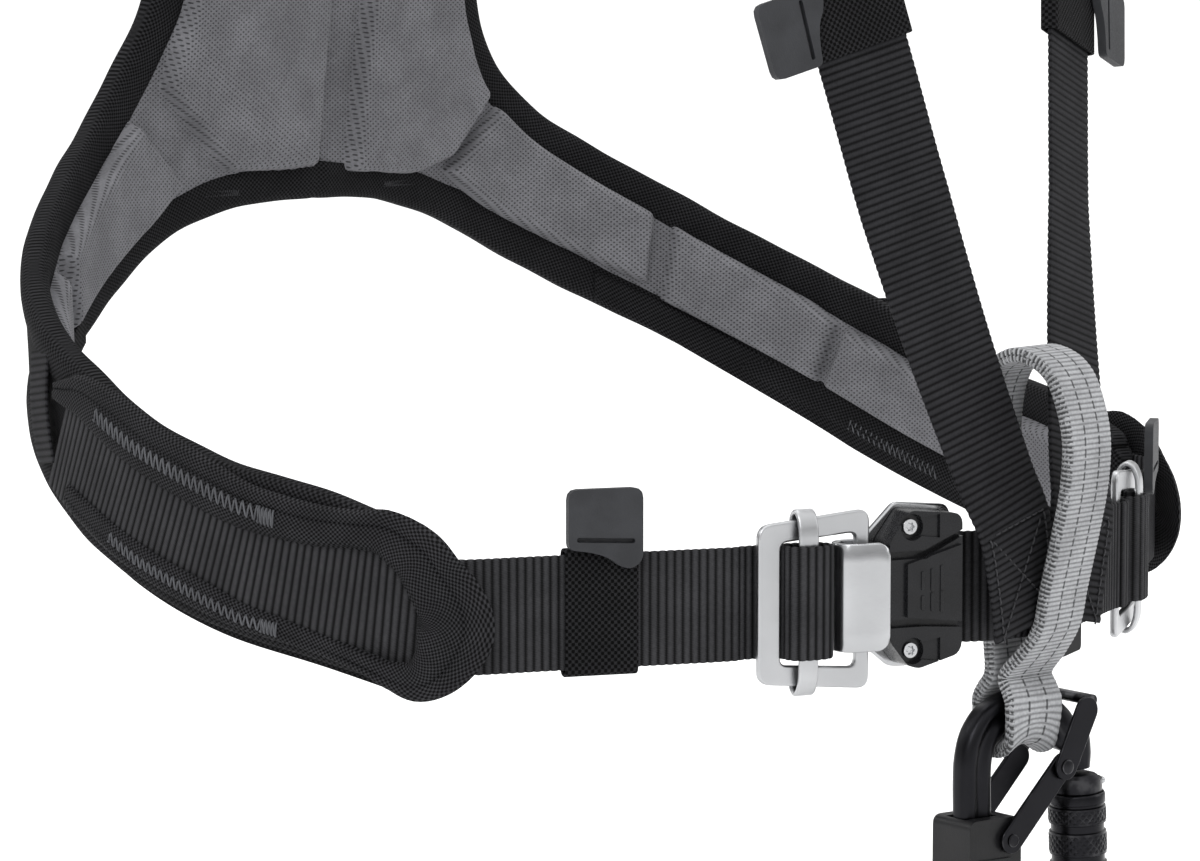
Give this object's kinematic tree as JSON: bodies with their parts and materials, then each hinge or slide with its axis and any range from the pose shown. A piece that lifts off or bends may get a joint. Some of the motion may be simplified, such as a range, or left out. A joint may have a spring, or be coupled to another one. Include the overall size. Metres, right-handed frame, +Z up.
{
  "type": "chest harness",
  "caption": "Padded climbing chest harness: Y-shaped back yoke with mesh lining, webbing, slide adjusters, quick-release buckle, fabric tie-in loop and an auto-locking carabiner.",
  "frame": {"origin": "centre of the space inside the chest loop, at the height of the front webbing less 20 mm", "axes": "+Z up the wearer's body, -Y the way the wearer faces, +X toward the wearer's left"},
  "size_m": [0.5176, 0.4368, 0.5496],
  "materials": {
    "black_fabric": "woven, dyed black",
    "grey_mesh": "spacer mesh, dyed grey",
    "foam": "closed-cell foam",
    "black_webbing": "flat woven polyester webbing",
    "grey_webbing": "flat woven webbing with stitching",
    "elastic": "knitted elastic tape",
    "rubber": "matt moulded",
    "satin_aluminium": "satin",
    "steel": "satin",
    "grey_plastic": "moulded",
    "black_anodised": "black anodised, satin",
    "black_plastic": "moulded"
  },
  "bodies": {
    "harness": {"armhole_binding_left": "black_fabric", "armhole_binding_right": "black_fabric", "buckle_base": "steel", "buckle_cover": "grey_plastic", "chest_frame_left": "satin_aluminium", "chest_frame_right": "satin_aluminium", "chest_strap_left": "black_webbing", "chest_strap_right": "black_webbing", "cover_screw_1": "steel", "cover_screw_2": "steel", "foam_back_left": "foam", "foam_back_right": "foam", "foam_shoulder_left": "foam", "foam_shoulder_right": "foam", "foam_wing_front_left": "foam", "foam_wing_front_right": "foam", "foam_wing_rear_left": "foam", "foam_wing_rear_right": "foam", "hem_binding": "black_fabric", "neck_binding": "black_fabric", "pad_strap_left": "black_webbing", "pad_strap_right": "black_webbing", "sewn_tag": "black_fabric", "shoulder_frame_left": "satin_aluminium", "shoulder_frame_right": "satin_aluminium", "shoulder_strap_left": "black_webbing", "shoulder_strap_right": "black_webbing", "sternal_strap": "black_webbing", "tie_in_loop": "grey_webbing", "wing_arch_left": "black_fabric", "wing_arch_right": "black_fabric", "yoke_lining": "grey_mesh", "yoke_shell": "black_fabric"},
    "chest_slider_right": {"chest_slider_right": "satin_aluminium"},
    "shoulder_slider_right": {"shoulder_slider_right": "satin_aluminium"},
    "chest_keeper_right": {"chest_keeper_right_elastic": "elastic", "chest_keeper_right_tab": "rubber"},
    "shoulder_keeper_right": {"shoulder_keeper_right_elastic": "elastic", "shoulder_keeper_right_tab": "rubber"},
    "chest_slider_left": {"chest_slider_left": "satin_aluminium"},
    "shoulder_slider_left": {"shoulder_slider_left": "satin_aluminium"},
    "chest_keeper_left": {"chest_keeper_left_elastic": "elastic", "chest_keeper_left_tab": "rubber"},
    "shoulder_keeper_left": {"shoulder_keeper_left_elastic": "elastic", "shoulder_keeper_left_tab": "rubber"},
    "release_lever_upper": {"release_lever_upper": "steel"},
    "release_lever_lower": {"release_lever_lower": "steel"},
    "carabiner": {"carabiner_frame": "black_anodised", "bar_housing": "black_plastic", "gate_pin": "steel"},
    "gate": {"gate": "black_anodised", "gate_rivet": "steel"},
    "sleeve_bush": {"sleeve_bush": "black_plastic"},
    "locking_sleeve": {"locking_sleeve": "black_anodised"},
    "bar_arm": {"bar_arm": "black_anodised"},
    "bar_clip": {"bar_clip": "black_anodised"}
  },
  "joints": [
    {"name": "chest_slider_right_slide", "type": "slide", "parent": "harness", "child": "chest_slider_right", "axis": [0.9198, -0.3923, 0], "range_m": [0, 0.002]},
    {"name": "chest_slider_left_slide", "type": "slide", "parent": "harness", "child": "chest_slider_left", "axis": [-0.9198, -0.3923, 0], "range_m": [0, 0.002]},
    {"name": "shoulder_slider_right_slide", "type": "slide", "parent": "harness", "child": "shoulder_slider_right", "axis": [-0.2209, 0.1689, 0.9606], "range_m": [0, 0.002]},
    {"name": "shoulder_slider_left_slide", "type": "slide", "parent": "harness", "child": "shoulder_slider_left", "axis": [0.2209, 0.1689, 0.9606], "range_m": [0, 0.002]},
    {"name": "chest_keeper_right_slide", "type": "slide", "parent": "harness", "child": "chest_keeper_right", "axis": [0.8676, -0.4973, 0], "range_m": [-0.006, 0.006]},
    {"name": "chest_keeper_left_slide", "type": "slide", "parent": "harness", "child": "chest_keeper_left", "axis": [-0.8676, -0.4973, 0], "range_m": [-0.006, 0.006]},
    {"name": "shoulder_keeper_right_slide", "type": "slide", "parent": "harness", "child": "shoulder_keeper_right", "axis": [-0.2209, 0.1689, 0.9606], "range_m": [-0.004, 0.004]},
    {"name": "shoulder_keeper_left_slide", "type": "slide", "parent": "harness", "child": "shoulder_keeper_left", "axis": [0.2209, 0.1689, 0.9606], "range_m": [-0.004, 0.004]},
    {"name": "release_lever_upper_slide", "type": "slide", "parent": "harness", "child": "release_lever_upper", "axis": [0.9198, -0.3923, 0], "range_m": [0, 0.005], "stiffness_N_per_m": 150, "springref_m": -0.002},
    {"name": "release_lever_lower_slide", "type": "slide", "parent": "harness", "child": "release_lever_lower", "axis": [0.9198, -0.3923, 0], "range_m": [0, 0.005], "stiffness_N_per_m": 150, "springref_m": -0.002},
    {"name": "carabiner_swing", "type": "hinge", "parent": "harness", "child": "carabiner", "pos_m": [0, -0.22, -0.06], "axis": [-0.225, -0.9744, 0], "range_deg": [-6, 15]},
    {"name": "gate_hinge", "type": "hinge", "parent": "carabiner", "child": "gate", "pos_m": [0.03362, -0.22776, -0.121], "axis": [-0.225, -0.9744, 0], "range_deg": [0, 25], "stiffness_Nm_per_rad": 0.15, "springref_deg": -17.19},
    {"name": "sleeve_lift", "type": "slide", "parent": "gate", "child": "sleeve_bush", "axis": [-0.0469, 0.0108, 0.9988], "range_m": [0, 0.002], "stiffness_N_per_m": 150, "springref_m": -0.004},
    {"name": "sleeve_turn", "type": "hinge", "parent": "sleeve_bush", "child": "locking_sleeve", "pos_m": [0.03362, -0.22776, -0.121], "axis": [-0.0469, 0.0108, 0.9988], "range_deg": [0, 90], "stiffness_Nm_per_rad": 0.01, "springref_deg": -17.19},
    {"name": "bar_foot", "type": "hinge", "parent": "carabiner", "child": "bar_arm", "pos_m": [-0.01315, -0.21696, -0.082], "axis": [-0.225, -0.9744, 0], "range_deg": [-45, 0]},
    {"name": "bar_elbow", "type": "hinge", "parent": "bar_arm", "child": "bar_clip", "pos_m": [0.01218, -0.22281, -0.055], "axis": [-0.225, -0.9744, 0], "range_deg": [-12, 0]}
  ]
}
